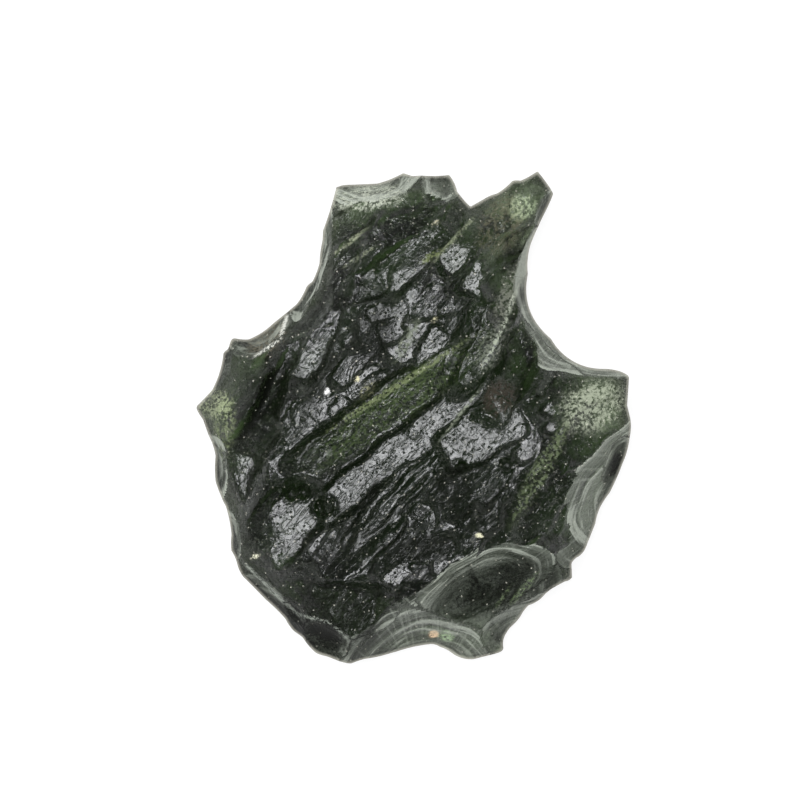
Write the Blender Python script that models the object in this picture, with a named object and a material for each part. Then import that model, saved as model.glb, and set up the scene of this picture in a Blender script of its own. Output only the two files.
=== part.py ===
# A raw moldavite: one chipped lump of dark green natural glass, lying on its back.
# The top of the lump (narrow block and horn) points to +Y, its sculpted front faces +Z.
# Front and back are two height fields over one outline, and they meet in a sharp rim.
# The front is a low dome with bowl-shaped scars and flat facets sunk into it; where two meet they leave a ridge.
# The back is a shallower dome with a few scars and a flat facet at Z = 0 that the stone rests on.
import bpy
import numpy as np

MM = 0.001
GRID_CELLS = 150
TARGET_TRIANGLES = 9400
ARC_STEP_MM = 0.15
# the outline is star-shaped about this point, so the grid spreads out from here
HEART_MM = (0.06, -0.12)

# front dome: height at the rim, rise above it at the middle, how fast it rises, and how it leans
FRONT_RIM_MM = 5.0
FRONT_RISE_MM = 4.9
FRONT_SPREAD_MM = 2.5
FRONT_LEAN_X = -0.03
FRONT_LEAN_Y = -0.06
# back dome, measured downwards from its rim height
BACK_RIM_MM = 3.6
BACK_DROP_MM = 4.05
BACK_SPREAD_MM = 2.5
RIM_BLEND_MM = 1.1
RIM_LOWEST_MM = 2.0
THINNEST_MM = 0.5

# gentle swelling over the whole front: wavelength, height, direction
SWELLS = [(6.3, 0.16, 52), (4.1, 0.09, -31), (3.3, 0.07, 12)]
BACK_SWELLS = [(5.2, 0.15, 20), (3.7, 0.10, 105)]

# corners of the outline, clockwise from the upper left, in mm: x, y, bow of the arc to the next corner
# a bow above zero swells outwards, one below zero is a bite
OUTLINE = [
    (-4.62, 13.86, 0.03), (-4.08, 14.04, 0.0), (-2.16, 14.13, -0.05), (-0.60, 14.73, 0.0),
    (-0.06, 14.52, -0.02), (2.16, 14.64, 0.05), (2.58, 13.80, 0.0), (2.64, 13.56, -0.03),
    (3.42, 12.66, 0.0), (4.26, 13.14, 0.04), (4.98, 13.44, -0.05), (5.94, 14.22, 0.03),
    (6.42, 14.22, -0.03), (7.44, 14.79, 0.03), (8.40, 13.47, 0.02), (7.98, 12.48, -0.03),
    (7.08, 10.50, -0.10), (6.93, 8.70, -0.62), (8.34, 4.80, -0.50), (11.34, 2.97, 0.03),
    (12.24, 2.88, 0.05), (12.93, 2.52, 0.0), (12.81, 0.78, 0.0), (13.02, -0.12, 0.05),
    (13.02, -1.14, 0.08), (12.66, -2.70, 0.03), (11.88, -4.50, -0.02), (11.34, -5.28, -0.05),
    (10.98, -6.36, 0.0), (10.44, -7.62, 0.06), (9.96, -8.28, -0.05), (9.48, -8.70, 0.0),
    (9.51, -9.54, 0.06), (9.06, -9.78, 0.0), (8.34, -10.20, -0.03), (7.74, -10.80, 0.06),
    (6.96, -11.28, -0.04), (6.48, -12.00, 0.03), (5.88, -12.66, -0.04), (5.46, -13.38, -0.03),
    (5.46, -13.92, 0.05), (5.16, -14.16, 0.0), (3.66, -14.61, 0.10), (2.46, -14.31, -0.05),
    (1.62, -13.86, -0.08), (0.90, -13.71, -0.05), (-0.96, -14.13, 0.0), (-1.86, -14.37, 0.02),
    (-2.88, -14.52, -0.02), (-3.72, -14.76, 0.03), (-4.32, -14.61, 0.0), (-5.22, -14.31, 0.03),
    (-5.88, -14.10, 0.04), (-6.66, -13.20, 0.0), (-7.20, -12.84, 0.04), (-7.68, -12.12, -0.03),
    (-8.88, -10.92, 0.0), (-10.20, -9.48, 0.05), (-10.56, -8.64, -0.03), (-10.92, -7.98, 0.04),
    (-10.92, -7.02, -0.04), (-11.22, -5.28, 0.03), (-11.88, -3.84, 0.05), (-11.88, -2.28, -0.05),
    (-12.24, -1.08, 0.0), (-12.60, -0.06, 0.03), (-12.99, 0.60, 0.05), (-12.84, 0.84, 0.0),
    (-12.06, 1.68, -0.10), (-11.40, 3.90, 0.03), (-11.10, 4.14, 0.0), (-10.95, 4.68, 0.05),
    (-10.68, 4.80, -0.03), (-9.90, 4.74, -0.05), (-8.70, 5.46, 0.02), (-7.56, 6.36, 0.0),
    (-7.02, 6.84, -0.05), (-6.42, 7.92, 0.02), (-6.06, 8.22, -0.03), (-5.64, 9.30, 0.04),
    (-5.46, 10.68, 0.0), (-5.43, 11.28, -0.03), (-4.80, 13.08, 0.0),
]

# scars in the front, in mm: middle x, y, half length, half width, turn of the length in degrees, depth
RIM_SCARS = [
    # notch on the upper right: long outer slope, then the bite itself
    (14.7, 9.7, 9.9, 5.5, 35, 6.0), (11.65, 8.05, 5.72, 5.72, 0, 8.0),
    # right edge: one long feathered flake and a chip in its upper end
    (17.2, -2.1, 10.8, 4.25, 34, 3.4), (12.3, -2.9, 2.8, 1.3, 62, 2.4),
    # big crescent flake, its hollow, the scar in the bottom edge and the bite in that
    (1.85, -13.3, 8.3, 3.95, 35, 1.9), (3.7, -10.5, 5.4, 2.7, 30, 2.1),
    (0.6, -17.7, 7.9, 6.2, 68, 4.4), (0.9, -15.5, 5.4, 5.15, 0, 3.25), (6.0, -12.9, 4.8, 2.15, 28, 2.7),
    # lower left edge: a strip, a nick, a fan and a leaf
    (-7.5, -13.8, 5.3, 1.75, -61, 2.2), (-7.2, -11.8, 1.25, 0.95, -64, 1.5), (-5.4, -13.3, 1.8, 1.35, -18, 1.9),
    (-2.8, -13.6, 1.6, 0.75, 46, 1.3),
    # left shoulder flake, left edge chips
    (-9.6, 6.0, 2.45, 2.25, 45, 1.9), (-12.5, 3.0, 2.4, 1.5, 65, 1.5), (-12.4, -3.4, 2.5, 1.5, 85, 1.4),
    (-11.6, -7.6, 2.4, 1.2, 80, 1.3),
    # side wall of the top block, its top facets, outer side of the horn
    (-6.4, 9.6, 4.4, 1.35, 78, 1.9), (-2.6, 14.9, 3.2, 2.3, 8, 1.8), (1.8, 14.6, 1.35, 1.8, 0, 1.6),
    (8.2, 11.8, 2.8, 0.95, 68, 1.2),
]
FRONT_SCARS = [
    # top block and horn
    (-3.4, 11.7, 2.9, 1.2, 38, 0.50), (-3.2, 9.8, 2.9, 1.1, 36, 0.50), (-3.2, 7.7, 2.6, 1.4, 20, 0.50),
    (0.1, 10.0, 1.9, 1.3, 30, 0.50), (0.6, 12.2, 2.3, 1.4, 42, 0.50), (3.0, 10.4, 2.5, 1.3, 56, 0.60),
    (6.5, 12.6, 1.1, 1.0, 0, 0.45), (5.2, 11.1, 2.2, 1.2, 40, 0.50), (5.9, 9.7, 1.5, 1.1, 70, 0.40),
    # small facets below the block
    (1.6, 8.2, 2.1, 1.1, 55, 0.50), (-0.1, 6.9, 1.3, 0.9, 50, 0.40), (-1.5, 5.6, 1.5, 1.0, 20, 0.55),
    (0.9, 4.5, 2.4, 1.0, 60, 0.60), (2.3, 6.2, 2.2, 1.0, 55, 0.50),
    # deep dark pit and the bowl below it
    (-2.9, 4.9, 2.4, 1.5, 58, 1.20), (-4.3, 6.8, 1.3, 0.7, 40, 0.65), (-2.3, 2.2, 2.6, 1.5, 35, 0.70),
    # long panel on the left and the fluted slope beside it
    (-5.6, 4.6, 3.1, 0.95, 64, 0.80), (-7.0, 4.2, 3.0, 0.9, 60, 0.55), (-4.7, 1.6, 3.0, 1.2, 55, 0.55),
    (-8.2, 2.6, 2.9, 1.7, 55, 0.50),
    # long green flute, the bright flute under it and the fine flutes beside that
    (-1.2, 0.35, 7.0, 1.45, 34, 1.00), (-0.6, -1.9, 7.0, 1.15, 37, 0.80), (1.2, -3.0, 5.6, 0.75, 47, 0.55),
    (-6.6, -2.6, 3.2, 1.5, 52, 0.55),
    # lower left facets
    (-8.1, -6.8, 3.3, 1.5, 57, 0.80), (-6.0, -6.3, 2.8, 1.1, 70, 0.65), (-10.0, -3.6, 2.6, 1.5, 78, 0.55),
    (-4.6, -11.2, 3.3, 2.0, 8, 1.10), (-6.9, -9.6, 2.2, 1.3, 10, 0.60), (-3.3, -7.4, 3.1, 1.5, 42, 0.55),
    # lower middle
    (2.3, -4.4, 2.2, 1.7, 75, 0.65), (4.0, -1.3, 3.3, 2.1, 35, 0.60), (5.3, 0.9, 2.0, 1.4, 60, 0.60),
    (0.3, -8.7, 3.1, 2.0, 20, 0.95), (5.0, -6.3, 3.0, 1.9, 62, 0.55), (1.2, -6.3, 2.8, 1.1, 30, 0.50),
    # panels either side of the long crest
    (4.6, 7.6, 2.9, 1.3, 63, 0.70), (3.4, 4.4, 2.7, 1.2, 64, 0.65), (6.6, 5.2, 2.6, 1.0, 70, 0.65),
    (2.3, 1.9, 2.2, 1.1, 50, 0.50),
    # right side
    (6.3, 2.3, 1.45, 1.3, 0, 0.60), (10.2, 0.6, 2.5, 2.0, 20, 0.60), (8.0, -1.6, 3.2, 1.4, 60, 0.60),
    (7.0, -4.2, 3.2, 1.3, 65, 0.60), (8.7, 1.9, 1.8, 1.2, 40, 0.50),
    # shallow round dents on the left
    (-7.7, 0.4, 1.3, 1.15, 0, 0.40), (-7.6, -1.1, 1.3, 1.15, 0, 0.40), (-10.2, 1.6, 1.9, 1.4, 60, 0.45),
]
# the front's bowls are this much shallower than listed, so that the flat facets show
BOWL_SHARE = 0.5
# flat facets: middle x, y, half length, half width, turn, how far they lie under what is around them,
# slope in x and in y
FLATS = [
    # bright facets on the block and below it; they lean a little to the upper left
    (2.7, 10.1, 1.40, 0.75, 55, 0.10, 0.06, -0.06), (4.1, 8.5, 1.35, 0.80, 60, 0.10, 0.06, -0.06),
    (0.0, 6.9, 0.70, 0.45, 50, 0.08, 0.05, -0.05), (-1.9, 6.15, 0.75, 0.50, 20, 0.10, 0.07, -0.05),
    (-1.4, 5.0, 0.75, 0.60, 25, 0.15, 0.05, -0.07), (1.1, 4.2, 1.25, 0.65, 60, 0.12, 0.06, -0.06),
    (1.8, 13.7, 0.9, 0.7, 20, 0.10, 0.02, -0.25), (-3.2, 7.7, 1.9, 0.8, 18, 0.12, -0.10, -0.15),
    # long bright panel on the left with a step beside it, and a small one under it
    (-5.8, 4.7, 2.5, 0.80, 66, 0.34, 0.06, -0.06), (-7.0, 4.3, 2.3, 0.30, 66, 0.16, 0.28, -0.10),
    (-4.3, 0.7, 0.65, 0.45, 45, 0.10, 0.06, -0.06),
    # long green slope and the long bright flat at its foot
    (-1.3, 0.45, 6.6, 1.35, 35, 0.28, 0.24, -0.34), (-0.6, -1.75, 6.2, 0.95, 38, 0.62, 0.05, -0.07),
    # bright flats at the lower left
    (-7.7, -6.7, 2.8, 1.30, 52, 0.28, 0.06, -0.06), (-5.9, -6.3, 1.9, 0.75, 66, 0.32, 0.05, -0.06),
    (-10.5, -3.6, 1.5, 0.85, 80, 0.22, 0.10, -0.06),
    # bumpy bright flat right of the middle, the dark round ones below and above it
    (4.1, -0.85, 2.6, 1.4, 32, 0.18, 0.07, -0.06), (2.4, -4.1, 1.7, 1.2, 80, 0.22, -0.20, 0.12),
    (5.2, 1.2, 1.5, 0.9, 60, 0.20, -0.18, -0.10),
    # small bright ones on the right
    (8.3, 0.9, 0.60, 0.40, 60, 0.08, 0.06, -0.06), (8.2, -0.3, 0.50, 0.38, 60, 0.08, 0.06, -0.06),
    (6.5, 2.7, 0.50, 0.42, 40, 0.10, 0.06, -0.06),
    # dark hollows at the bottom with bright patches beside them
    (-4.7, -11.2, 2.6, 1.4, -8, 0.25, -0.16, 0.10), (0.3, -7.7, 2.0, 0.8, 10, 0.20, -0.14, 0.12),
    (-1.1, -9.7, 1.15, 0.70, 42, 0.10, 0.06, -0.06), (2.0, -8.5, 1.0, 0.45, 20, 0.10, 0.06, -0.06),
    (-3.0, -10.3, 0.9, 0.60, 60, 0.10, 0.06, -0.06),
    # fine flutes right of the long bright flat
    (0.7, -1.75, 2.9, 0.13, 49, 0.42, 0.16, -0.14), (1.0, -2.05, 2.8, 0.13, 49, 0.36, -0.14, 0.10),
    (1.3, -2.35, 2.6, 0.13, 49, 0.30, 0.16, -0.14), (1.6, -2.65, 2.3, 0.13, 49, 0.24, -0.14, 0.10),
    (1.9, -2.95, 2.0, 0.13, 49, 0.18, 0.16, -0.14),
    # slopes that stay dark or grey
    (4.5, 4.7, 3.0, 0.80, 64, 0.25, 0.30, -0.20), (6.9, 5.4, 2.8, 0.75, 68, 0.25, -0.42, -0.16),
    (-7.4, 2.2, 2.6, 1.2, 58, 0.15, 0.26, -0.22), (-4.6, -2.8, 2.8, 1.0, 52, 0.12, 0.22, -0.16),
    (7.2, -4.4, 3.0, 1.1, 64, 0.15, -0.30, 0.12), (-3.0, -7.3, 2.8, 1.1, 42, 0.15, -0.16, 0.22),
    (3.9, 6.3, 1.7, 0.6, 58, 0.25, -0.22, 0.12), (-0.3, 9.4, 2.0, 0.9, 36, 0.12, 0.20, -0.24),
]
# seeded flat facets: how many, the half size of the field they are strewn over, half length, half width,
# greatest depth, turn and its spread, how far they are tipped, how closely they follow the dome's slope
SEEDED = 170
FIELD_MM = (13.0, 14.8)
SEEDED_HALF_LENGTH_MM = 2.4
SEEDED_HALF_WIDTH_MM = 0.75
SEEDED_DEPTH_MM = 0.55
SEEDED_TURN = 45
SEEDED_TURN_SPREAD = 14
SEEDED_TIP = 0.10
SEEDED_FOLLOW = 0.8
SEEDED_STEEPEST = 0.6
SEEDED_SEED = 4
RIM_MARGIN_MM = 1.0
SLOPE_STEP_MM = 0.4
# how steeply the walls of the flat facets climb
WALL_SLOPE = 2.6
# the scars' edges wander by this much, over these wavelengths; the flat facets' edges wander once more
WANDER_MM = 0.10
WANDER_LENGTHS_MM = (3.4, 6.1)
RAGGED_MM = 0.045
RAGGED_LENGTHS_MM = (0.8, 1.9)
# opened gas bubbles, in mm: x, y, radius, depth
BUBBLES = [
    (-7.20, -4.48, 0.40, 0.30), (-6.52, -4.36, 0.42, 0.32), (-5.28, -5.28, 0.60, 0.38),
    (2.88, -2.94, 0.38, 0.25), (5.46, -2.70, 0.40, 0.25), (6.48, -4.17, 0.42, 0.28),
    (-10.7, 4.3, 0.42, 0.28), (7.32, 13.86, 0.46, 0.30), (1.24, -13.0, 0.40, 0.22),
]
BACK_SCARS = [
    (-9.5, 1.5, 3.6, 2.8, 60, 1.7), (9.6, -1.2, 3.6, 2.8, 70, 1.7), (7.2, -9.6, 3.6, 2.6, 40, 1.5),
    (-6.0, -10.2, 3.8, 2.6, -40, 1.6), (-2.4, 12.2, 3.6, 2.6, 10, 1.8), (6.3, 11.2, 2.8, 1.9, 50, 1.4),
    (2.4, 9.0, 3.2, 2.0, 70, 1.1), (-5.6, 7.0, 3.4, 2.0, 55, 1.3), (0.6, -11.2, 3.6, 2.2, 5, 1.5),
    (8.2, 4.2, 3.0, 2.0, -40, 1.3), (-9.6, -5.4, 3.0, 2.0, 75, 1.3), (4.8, 5.2, 2.6, 1.8, 30, 0.8),
    (-3.2, 4.2, 2.6, 2.0, 20, 0.6), (7.0, -5.0, 2.6, 1.6, 80, 0.6), (-5.6, -4.6, 2.2, 1.5, 40, 0.5),
    (0.2, -7.6, 2.6, 1.4, 10, 0.6),
]

GLASS = {"name": "moldavite_glass", "color": (0.10, 0.14, 0.07, 1.0), "roughness": 0.12, "metallic": 0.0}


def outline_points():
    """The outline as a row of points, clockwise; each stretch is a flat parabolic arc."""
    points = []
    for (x0, y0, bow), (x1, y1, _) in zip(OUTLINE, OUTLINE[1:] + OUTLINE[:1]):
        chord = np.hypot(x1 - x0, y1 - y0)
        t = np.linspace(0.0, 1.0, max(2, int(chord / ARC_STEP_MM) + 1), endpoint=False)
        swell = 4.0 * bow * t * (1.0 - t) / chord
        points.append(np.stack([x0 + (x1 - x0) * t - (y1 - y0) * swell,
                                y0 + (y1 - y0) * t + (x1 - x0) * swell], axis=1))
    return np.concatenate(points)


def square_to_outline(outline, cells):
    """Spread a square grid over the outline: each square ring becomes the outline shrunk to the heart."""
    half = cells // 2
    i, j = np.meshgrid(np.arange(-half, half + 1), np.arange(-half, half + 1), indexing="ij")
    ring = np.maximum(np.abs(i), np.abs(j))
    reach = np.where(ring == 0, 1, ring)
    # the way round each square ring, as a share of the full turn, clockwise from its upper left corner
    side = np.select([(j == ring) & (i < ring), (i == ring) & (j > -ring), (j == -ring) & (i > -ring)],
                     [(i + ring) / (2.0 * reach), 1.0 + (ring - j) / (2.0 * reach),
                      2.0 + (ring - i) / (2.0 * reach)], 3.0 + (j + ring) / (2.0 * reach))
    share = np.mod(side / 4.0, 1.0)
    loop = np.vstack([outline, outline[:1]])
    walked = np.concatenate([[0.0], np.cumsum(np.hypot(*np.diff(loop, axis=0).T))])
    rim_x = np.interp(share * walked[-1], walked, loop[:, 0])
    rim_y = np.interp(share * walked[-1], walked, loop[:, 1])
    scale = ring / half
    x = HEART_MM[0] + (rim_x - HEART_MM[0]) * scale
    y = HEART_MM[1] + (rim_y - HEART_MM[1]) * scale
    return x, y, rim_x, rim_y, ring == half


def rim_distance(x, y, outline):
    """A smooth distance to the outline: the inverse cube of the distance, summed along every stretch."""
    total = np.zeros(x.shape)
    for p0, p1 in zip(outline, np.roll(outline, -1, axis=0)):
        length = np.hypot(*(p1 - p0))
        along_x, along_y = (p1 - p0) / length
        start = (p0[0] - x) * along_x + (p0[1] - y) * along_y
        off = np.maximum(np.abs((p0[0] - x) * along_y - (p0[1] - y) * along_x), 1e-3)
        end = start + length
        total += (end / np.hypot(off, end) - start / np.hypot(off, start)) / off ** 2
    return np.sqrt(2.0 / np.maximum(total, 1e-9))


def bowls(x, y, scars):
    """Depth of the deepest bowl at each point; a bowl is a paraboloid over an ellipse."""
    depth = np.zeros(np.shape(x))
    for cx, cy, half_length, half_width, turn, deep in scars:
        c, s = np.cos(np.radians(turn)), np.sin(np.radians(turn))
        u = ((x - cx) * c + (y - cy) * s) / half_length
        v = ((y - cy) * c - (x - cx) * s) / half_width
        depth = np.maximum(depth, deep * (1.0 - u * u - v * v))
    return depth


def swell(x, y, waves):
    """Sum of long low waves, each with its own wavelength, height and direction."""
    total = np.zeros(x.shape)
    for length, height, turn in waves:
        c, s = np.cos(np.radians(turn)), np.sin(np.radians(turn))
        total += height * np.sin(2.0 * np.pi * (x * c + y * s) / length) * np.cos(np.pi * (y * c - x * s) / length)
    return total


def seeded_flats(outline):
    """Flat facets strewn over the front along the grain; each follows the dome, tipped a little."""
    random = np.random.default_rng(SEEDED_SEED)
    x = random.uniform(-FIELD_MM[0], FIELD_MM[0], SEEDED)
    y = random.uniform(-FIELD_MM[1], FIELD_MM[1], SEEDED)
    size = random.uniform(0.6, 1.4, SEEDED)
    turn = SEEDED_TURN + random.normal(size=SEEDED) * SEEDED_TURN_SPREAD
    depth = SEEDED_DEPTH_MM * random.uniform(0.3, 1.0, SEEDED)
    tip_x, tip_y = random.normal(size=(2, SEEDED)) * SEEDED_TIP
    around = np.arctan2(outline[:, 1] - HEART_MM[1], outline[:, 0] - HEART_MM[0])
    order = np.argsort(around)
    edge = np.hypot(outline[:, 0] - HEART_MM[0], outline[:, 1] - HEART_MM[1])
    bearing = np.arctan2(y - HEART_MM[1], x - HEART_MM[0])
    room = np.interp(bearing, around[order], edge[order]) - RIM_MARGIN_MM
    inside = np.hypot(x - HEART_MM[0], y - HEART_MM[1]) < room

    def top(dx, dy):
        return front_dome(x + dx, y + dy, rim_distance(x + dx, y + dy, outline))

    rise_x = (top(SLOPE_STEP_MM, 0) - top(-SLOPE_STEP_MM, 0)) / (2 * SLOPE_STEP_MM)
    rise_y = (top(0, SLOPE_STEP_MM) - top(0, -SLOPE_STEP_MM)) / (2 * SLOPE_STEP_MM)
    slope_x = np.clip(rise_x, -SEEDED_STEEPEST, SEEDED_STEEPEST) * SEEDED_FOLLOW + tip_x
    slope_y = np.clip(rise_y, -SEEDED_STEEPEST, SEEDED_STEEPEST) * SEEDED_FOLLOW + tip_y
    rows = np.stack([x, y, size * SEEDED_HALF_LENGTH_MM, size * SEEDED_HALF_WIDTH_MM, turn, depth,
                     slope_x, slope_y], axis=1)
    return rows[inside]


def flats(x, y, dome, laid):
    """Depth of the deepest flat facet: a plane inside a rounded rectangle, with steep walls outside it."""
    depth = np.zeros(np.shape(x))
    for cx, cy, half_length, half_width, turn, height, slope_x, slope_y in laid:
        c, s = np.cos(np.radians(turn)), np.sin(np.radians(turn))
        u = ((x - cx) * c + (y - cy) * s) / half_length
        v = ((y - cy) * c - (x - cx) * s) / half_width
        plane = height + slope_x * (x - cx) + slope_y * (y - cy)
        out = np.maximum((u ** 4 + v ** 4) ** 0.25 - 1.0, 0.0)
        depth = np.maximum(depth, dome - plane - WALL_SLOPE * half_width * out)
    return depth


def front_bowls(x, y):
    """Depth of the bowls on the face of the stone."""
    return bowls(x, y, FRONT_SCARS) * BOWL_SHARE


def laid_flats(outline):
    """All flat facets with the height of their middle: the seeded ones, then the placed ones over them."""
    def rows(table, cut):
        x, y = table[:, 0], table[:, 1]
        heights = front_dome(x, y, rim_distance(x, y, outline)) - cut(x, y) - table[:, 5]
        return np.column_stack([table[:, :5], heights, table[:, 6:]])

    def around(x, y):
        dome = front_dome(x, y, rim_distance(x, y, outline))
        return np.maximum(front_bowls(x, y), flats(x, y, dome, seeded))

    seeded = rows(seeded_flats(outline), lambda x, y: 0.0)
    return np.vstack([seeded, rows(np.array(FLATS), around)])


def wander(x, y, far, lengths):
    """Shift the points a little to and fro, so that no scar is a perfect oval."""
    short_wave, long_wave = (2.0 * np.pi / length for length in lengths)
    dx = np.sin(y * long_wave + 0.7 * np.sin(x * short_wave)) + 0.5 * np.sin((x + y) * short_wave + 1.3)
    dy = np.sin(x * long_wave + 0.7 * np.sin(y * short_wave + 2.1)) + 0.5 * np.sin((x - y) * short_wave)
    return x + far * dx, y + far * dy


def front_dome(x, y, reach):
    """The front before anything is cut from it."""
    rise = FRONT_RISE_MM + FRONT_LEAN_X * x + FRONT_LEAN_Y * y + swell(x, y, SWELLS)
    return FRONT_RIM_MM + rise * (1.0 - np.exp(-reach / FRONT_SPREAD_MM))


def front_height(x, y, reach, laid):
    """Front dome less its scars, flat facets and opened bubbles."""
    dome = front_dome(x, y, reach)
    holes = bowls(x, y, [(bx, by, r, r, 0, deep) for bx, by, r, deep in BUBBLES])
    near = wander(x, y, WANDER_MM, WANDER_LENGTHS_MM)
    ragged = wander(*near, RAGGED_MM, RAGGED_LENGTHS_MM)
    cut = np.maximum(bowls(*near, RIM_SCARS), front_bowls(*near))
    cut = np.maximum(cut, flats(*ragged, dome, laid))
    return np.maximum(dome - cut - holes, RIM_LOWEST_MM)


def back_height(x, y, reach):
    """Back dome hanging down from the rim, raised where it is scarred."""
    drop = BACK_DROP_MM + swell(x, y, BACK_SWELLS)
    return BACK_RIM_MM - drop * (1.0 - np.exp(-reach / BACK_SPREAD_MM)) + bowls(x, y, BACK_SCARS)


def stone_grid():
    """Points of the front and back sheets in mm, and the mask of the rim they share."""
    outline = outline_points()
    x, y, rim_x, rim_y, on_rim = square_to_outline(outline, GRID_CELLS)
    reach = rim_distance(x, y, outline)
    edge = np.zeros(x.shape)
    laid = laid_flats(outline)
    front = front_height(x, y, reach, laid)
    rim = front_height(rim_x, rim_y, edge, laid)
    hang = np.exp(-reach / RIM_BLEND_MM)
    back = back_height(x, y, reach) + (rim - back_height(rim_x, rim_y, edge)) * hang
    back = np.maximum(np.minimum(back, front - THINNEST_MM * (1.0 - hang)), 0.0)
    front = np.where(on_rim, rim, front)
    return x, y, front, back, on_rim


def build_stone():
    """One closed mesh: front sheet, back sheet and the rim row between them."""
    x, y, front, back, on_rim = stone_grid()
    front_index = np.arange(x.size).reshape(x.shape)
    back_index = np.where(on_rim, front_index, 0)
    back_index[~on_rim] = x.size + np.arange(np.count_nonzero(~on_rim))
    points = np.concatenate([np.stack([x.ravel(), y.ravel(), front.ravel()], axis=1),
                             np.stack([x[~on_rim], y[~on_rim], back[~on_rim]], axis=1)])
    faces = []
    for index, flip in ((front_index, False), (back_index, True)):
        a, b, c, d = index[:-1, :-1], index[1:, :-1], index[1:, 1:], index[:-1, 1:]
        quads = np.stack([a, b, c, d] if not flip else [a, d, c, b], axis=-1).reshape(-1, 4)
        faces.append(quads)
    mesh = bpy.data.meshes.new("moldavite")
    mesh.from_pydata((points * MM).tolist(), [], np.concatenate(faces).tolist())
    mesh.validate()
    stone = bpy.data.objects.new("moldavite", mesh)
    bpy.context.collection.objects.link(stone)
    thin = stone.modifiers.new("fewer faces", "DECIMATE")
    thin.decimate_type = "COLLAPSE"
    thin.use_collapse_triangulate = True
    thin.ratio = TARGET_TRIANGLES / (4.0 * GRID_CELLS ** 2)
    return stone


def paint(stone, look):
    """Give the stone its glass."""
    material = bpy.data.materials.new(look["name"])
    material.use_nodes = True
    shader = material.node_tree.nodes["Principled BSDF"]
    shader.inputs["Base Color"].default_value = look["color"]
    shader.inputs["Roughness"].default_value = look["roughness"]
    shader.inputs["Metallic"].default_value = look["metallic"]
    material.diffuse_color = look["color"]
    stone.data.materials.append(material)


for old in list(bpy.data.objects):
    bpy.data.objects.remove(old, do_unlink=True)
paint(build_stone(), GLASS)
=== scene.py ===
import math

import bpy
import numpy as np
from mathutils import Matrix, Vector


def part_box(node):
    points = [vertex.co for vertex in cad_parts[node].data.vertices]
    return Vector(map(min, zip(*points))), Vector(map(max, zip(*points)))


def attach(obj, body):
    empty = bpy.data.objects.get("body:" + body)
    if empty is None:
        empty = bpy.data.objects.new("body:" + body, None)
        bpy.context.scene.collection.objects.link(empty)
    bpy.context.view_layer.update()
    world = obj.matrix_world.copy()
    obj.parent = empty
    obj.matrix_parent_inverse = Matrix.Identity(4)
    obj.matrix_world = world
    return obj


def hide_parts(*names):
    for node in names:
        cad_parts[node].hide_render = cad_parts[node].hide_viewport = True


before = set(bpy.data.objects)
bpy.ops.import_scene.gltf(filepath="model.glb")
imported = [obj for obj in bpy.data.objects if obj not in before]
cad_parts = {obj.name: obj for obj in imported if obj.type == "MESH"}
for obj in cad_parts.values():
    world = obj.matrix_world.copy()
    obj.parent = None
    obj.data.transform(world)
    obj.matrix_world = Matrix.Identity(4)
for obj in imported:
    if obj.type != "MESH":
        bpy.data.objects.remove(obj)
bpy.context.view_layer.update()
low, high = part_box("moldavite")

# the stone's own measures are in mm; the frame's length says how long a mm is here
stoneLength = 29.53
mm = (high.y - low.y) / stoneLength
midX, midY = (low.x + high.x) / 2, (low.y + high.y) / 2
print("frame loaded, one mm is", round(mm, 6), "m")


# the stone

stone = {
    "cells": 214,            # squares along each side of the grid that both sheets are laid out on
    "heart": (0.06, -0.12),  # the outline can be seen whole from here
    "arcStep": 0.15,
    "frontRim": 5.0, "frontRise": 4.9, "frontSpread": 2.5, "leanX": -0.03, "leanY": -0.06,
    "backRim": 3.6, "backDrop": 4.05, "backSpread": 2.5,
    "rimBlend": 1.1, "rimLowest": 2.0, "thinnest": 0.5,
    # long low waves: wavelength, height, direction
    "swells": [(6.3, 0.16, 52), (4.1, 0.09, -31), (3.3, 0.07, 12)],
    "backSwells": [(5.2, 0.15, 20), (3.7, 0.10, 105)],
    # how far the scars' edges wander, and over what lengths
    "wander": 0.10, "wanderLengths": (3.4, 6.1),
    # the same, finer, for the flat facets
    "ragged": 0.045, "raggedLengths": (0.8, 1.9),
    # how sharp the ridges between scars are, per mm; how steep the walls of the flat facets are;
    # and how much of their depth the front's bowls keep
    "ridgeSharpness": 34.0, "backSharpness": 14.0, "chipSharpness": 60.0, "wallSlope": 2.6, "bowlShare": 0.5,
    # rings inside the rim scars: how many to the scar's edge, height in mm
    "rings": 11.0, "ringHeight": 0.022,
    # fine flow lines along the grain: direction and its spread, how many waves, their lengths, height
    "grainTurn": 47, "grainSpread": 7, "grainWaves": 26, "grainLengths": (0.45, 1.6),
    "grainHeight": 0.004, "grainSeed": 5,
    # over what distance from the rim the fine relief comes up
    "fineSpread": 0.5,
    # for the material: how far round about a hollow is measured for the painted shade in hollows, how
    # strongly the back's scars are marked, and what stands there for the distance from the rim
    "smoothings": 9, "backScarShare": 0.5, "backReach": 2.6,
    # where in a scar its rings start and how fast they come up, as shares of its radius;
    # and steps from scar to scar, so that neighbours don't have one pattern
    "ringsFrom": 0.40, "ringsFade": 0.35, "scarSteps": (7.0, 3.0),
    # raised lip round each opened bubble: where and how wide it is, as shares of the radius, and its
    # height as a share of the depth
    "lipPlace": 1.1, "lipWidth": 0.28, "lipHeight": 0.30,
    # edges sharper than this stay sharp, in degrees
    "sharpAngle": 55,
}

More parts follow.
